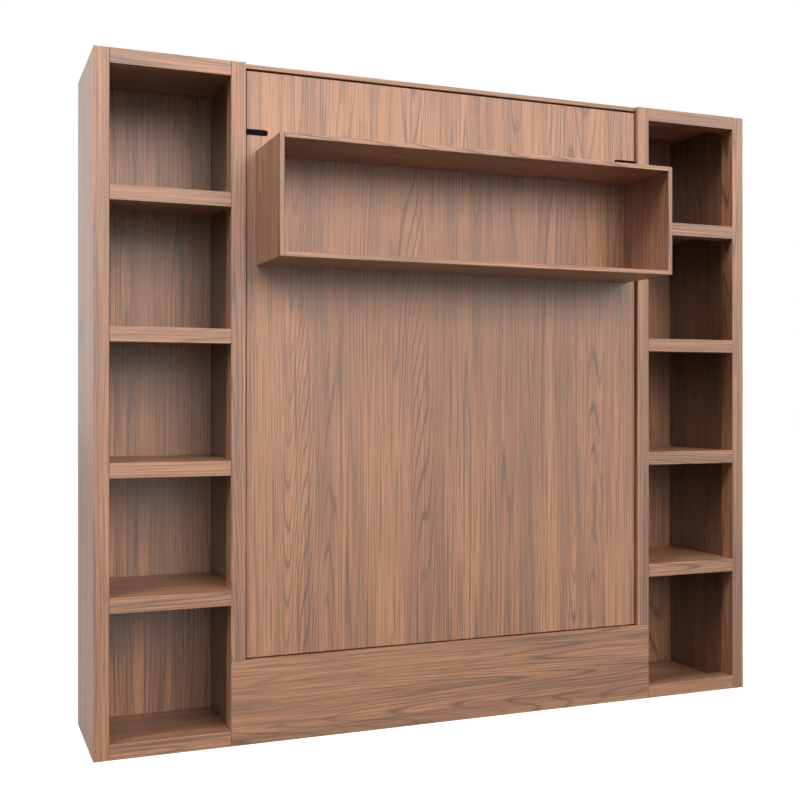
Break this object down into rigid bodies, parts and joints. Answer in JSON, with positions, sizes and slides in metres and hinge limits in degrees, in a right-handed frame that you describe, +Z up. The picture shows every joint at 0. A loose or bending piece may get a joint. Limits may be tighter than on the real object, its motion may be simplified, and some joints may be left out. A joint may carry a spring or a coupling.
{
  "type": "murphy wall bed",
  "caption": "Wall bed that folds up between two open bookcases; a shelf box on its front panel turns over and becomes the bed's leg.",
  "frame": {"origin": "on the floor, under the middle of the whole object's box with the bed folded up", "axes": "+X to the right seen from the front, +Y back to the wall, +Z up; the bed's front panel faces -Y"},
  "size_m": [2.442, 0.712, 2.2],
  "materials": {
    "walnut": "walnut-effect laminate, satin",
    "walnut_dark": "walnut-effect back board, matt",
    "birch": "birch plywood, bare",
    "steel": "zinc-plated sheet steel",
    "black_metal": "black powder coat",
    "ticking": "quilted knitted ticking",
    "webbing": "black woven elastic webbing"
  },
  "bodies": {
    "cabinet": {"stile_outer_left": "walnut", "stile_inner_left": "walnut", "side_outer_left": "walnut", "side_inner_left": "walnut", "case_top_left": "walnut", "case_bottom_left": "walnut", "case_back_left": "walnut", "shelf_left_1": "walnut", "shelf_left_2": "walnut", "shelf_left_3": "walnut", "shelf_left_4": "walnut", "pivot_plate_left": "steel", "strut_bracket_left": "steel", "stile_outer_right": "walnut", "stile_inner_right": "walnut", "side_outer_right": "walnut", "side_inner_right": "walnut", "case_top_right": "walnut", "case_bottom_right": "walnut", "case_back_right": "walnut", "shelf_right_1": "walnut", "shelf_right_2": "walnut", "shelf_right_3": "walnut", "shelf_right_4": "walnut", "pivot_plate_right": "steel", "strut_bracket_right": "steel", "bay_top": "walnut", "bay_back": "walnut_dark", "closing_rail": "walnut_dark", "plinth_board": "walnut"},
    "bed": {"side_rail_left": "birch", "slat_ledge_left": "birch", "bed_strut_bracket_left": "steel", "leg_box_left": "walnut", "side_rail_right": "birch", "slat_ledge_right": "birch", "bed_strut_bracket_right": "steel", "leg_box_right": "walnut", "bed_panel": "walnut", "head_rail": "birch", "foot_rail": "birch", "centre_rail": "birch", "mattress": "ticking", "strap_head": "webbing", "strap_foot": "webbing", "leg_box_top": "walnut", "leg_box_bottom": "walnut", "slat_1": "birch", "slat_2": "birch", "slat_3": "birch", "slat_4": "birch", "slat_5": "birch", "slat_6": "birch", "slat_7": "birch"},
    "strut_cylinder_left": {"strut_cylinder_left": "black_metal"},
    "strut_rod_left": {"strut_rod_left": "steel"},
    "slide_bolt_left": {"slide_bolt_left": "black_metal"},
    "strut_cylinder_right": {"strut_cylinder_right": "black_metal"},
    "strut_rod_right": {"strut_rod_right": "steel"},
    "slide_bolt_right": {"slide_bolt_right": "black_metal"}
  },
  "joints": [
    {"name": "bed_fold", "type": "hinge", "parent": "cabinet", "child": "bed", "pos_m": [0, -0.013, 0.344], "axis": [1, 0, 0], "range_deg": [0, 90]},
    {"name": "strut_swing_left", "type": "hinge", "parent": "cabinet", "child": "strut_cylinder_left", "pos_m": [-0.728, 0.172, 0.67], "axis": [1, 0, 0], "range_deg": [0, 3]},
    {"name": "strut_travel_left", "type": "slide", "parent": "strut_cylinder_left", "child": "strut_rod_left", "axis": [0, 0.3702, 0.929], "range_m": [0, 0.118]},
    {"name": "bolt_slide_left", "type": "slide", "parent": "bed", "child": "slide_bolt_left", "axis": [-1, 0, 0], "range_m": [0, 0.014]},
    {"name": "strut_swing_right", "type": "hinge", "parent": "cabinet", "child": "strut_cylinder_right", "pos_m": [0.728, 0.172, 0.67], "axis": [1, 0, 0], "range_deg": [0, 3]},
    {"name": "strut_travel_right", "type": "slide", "parent": "strut_cylinder_right", "child": "strut_rod_right", "axis": [0, 0.3702, 0.929], "range_m": [0, 0.118]},
    {"name": "bolt_slide_right", "type": "slide", "parent": "bed", "child": "slide_bolt_right", "axis": [1, 0, 0], "range_m": [0, 0.014]}
  ],
  "couplings": [
    {"joint": "strut_swing_left", "follows": "bed_fold", "ratio": 0.02465},
    {"joint": "strut_travel_left", "follows": "bed_fold", "m_per_rad": 0.072895},
    {"joint": "strut_swing_right", "follows": "bed_fold", "ratio": 0.02465},
    {"joint": "strut_travel_right", "follows": "bed_fold", "m_per_rad": 0.072895}
  ]
}
